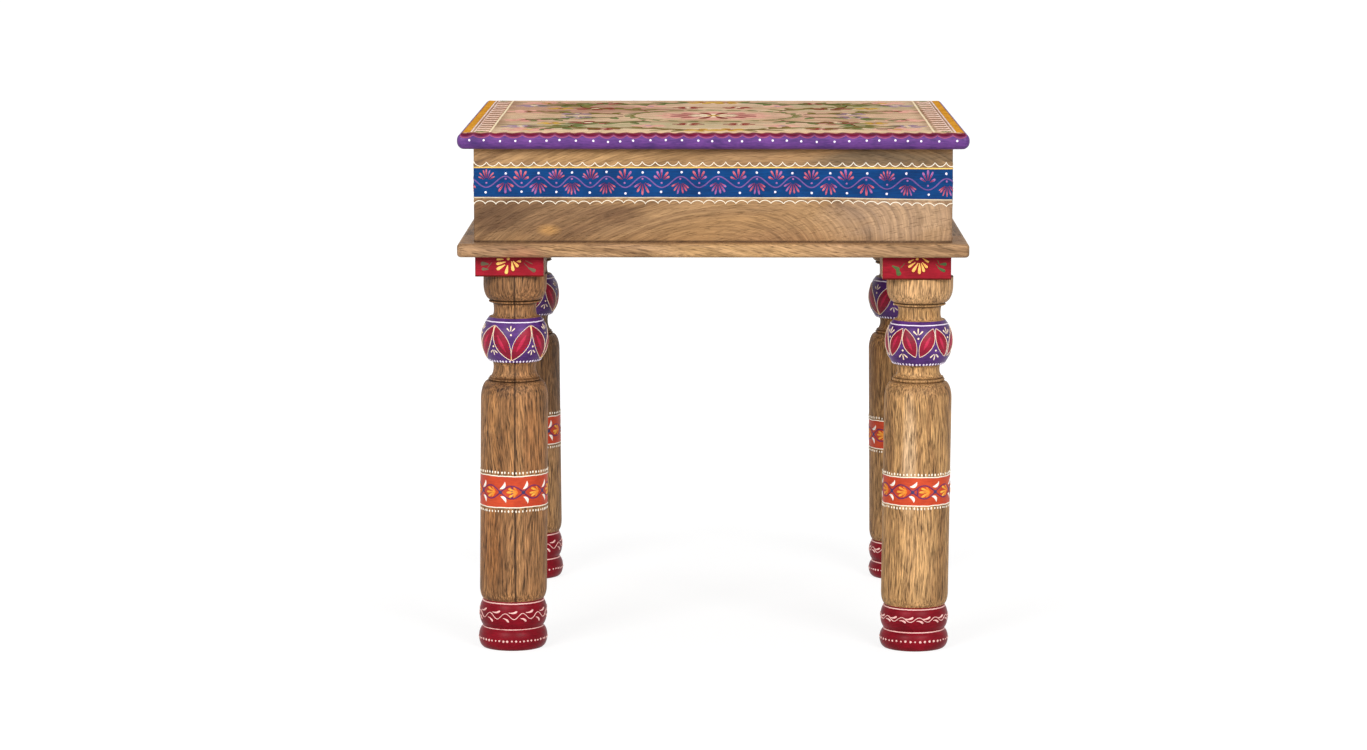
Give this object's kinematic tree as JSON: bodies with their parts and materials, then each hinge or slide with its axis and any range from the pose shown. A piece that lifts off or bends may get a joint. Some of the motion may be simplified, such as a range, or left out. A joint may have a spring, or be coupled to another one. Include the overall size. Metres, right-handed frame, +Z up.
{
  "type": "bajot low table",
  "caption": "Low square side table with a round-edged plank top, a boxed apron on a flat ledge and turned legs, in bare wood with hand-painted bands and raised floral ornament.",
  "frame": {"origin": "on the floor, under the middle of the top", "axes": "+Z up, +X to the right and +Y to the back, seen from the front"},
  "size_m": [0.45, 0.45, 0.465],
  "materials": {
    "top_wood": "sanded, washed and waxed mango wood",
    "apron_wood": "waxed mango wood with open grain",
    "ledge_wood": "waxed mango wood with open grain",
    "leg_wood": "turned and waxed mango wood",
    "inner_wood": "rough sawn softwood, unfinished",
    "steel": "zinc plated",
    "paint_purple": "brushed acrylic paint on wood, satin",
    "paint_crimson": "brushed acrylic paint on wood, satin",
    "paint_blue": "brushed acrylic paint on wood, satin",
    "paint_orange": "brushed acrylic paint on wood, satin",
    "paint_gold": "brushed acrylic paint on wood, satin",
    "paint_relief": "raised cone-laid paint in cream, pink, yellow and green"
  },
  "bodies": {
    "root": {"top_plank_1": "top_wood", "top_plank_2": "top_wood", "top_plank_3": "top_wood", "top_plank_4": "top_wood", "top_plank_5": "top_wood", "top_cleat_left": "inner_wood", "top_cleat_right": "inner_wood", "apron_front": "apron_wood", "apron_back": "apron_wood", "apron_left": "apron_wood", "apron_right": "apron_wood", "ledge_front": "ledge_wood", "ledge_back": "ledge_wood", "ledge_left": "ledge_wood", "ledge_right": "ledge_wood", "leg_front_left": "leg_wood", "leg_front_right": "leg_wood", "leg_back_left": "leg_wood", "leg_back_right": "leg_wood", "corner_block_front_left": "inner_wood", "corner_block_front_right": "inner_wood", "corner_block_back_left": "inner_wood", "corner_block_back_right": "inner_wood", "leg_bolt_front_left": "steel", "leg_washer_front_left": "steel", "leg_nut_front_left": "steel", "leg_bolt_front_right": "steel", "leg_washer_front_right": "steel", "leg_nut_front_right": "steel", "leg_bolt_back_left": "steel", "leg_washer_back_left": "steel", "leg_nut_back_left": "steel", "leg_bolt_back_right": "steel", "leg_washer_back_right": "steel", "leg_nut_back_right": "steel", "top_screw_left_1": "steel", "top_screw_left_2": "steel", "top_screw_left_3": "steel", "top_screw_left_4": "steel", "top_screw_left_5": "steel", "top_screw_right_1": "steel", "top_screw_right_2": "steel", "top_screw_right_3": "steel", "top_screw_right_4": "steel", "top_screw_right_5": "steel", "cleat_screw_left_1": "steel", "cleat_screw_left_2": "steel", "cleat_screw_right_1": "steel", "cleat_screw_right_2": "steel", "ledge_screw_front_1": "steel", "ledge_screw_front_2": "steel", "ledge_screw_back_1": "steel", "ledge_screw_back_2": "steel", "ledge_screw_left_1": "steel", "ledge_screw_left_2": "steel", "ledge_screw_right_1": "steel", "ledge_screw_right_2": "steel"}
  },
  "joints": []
}
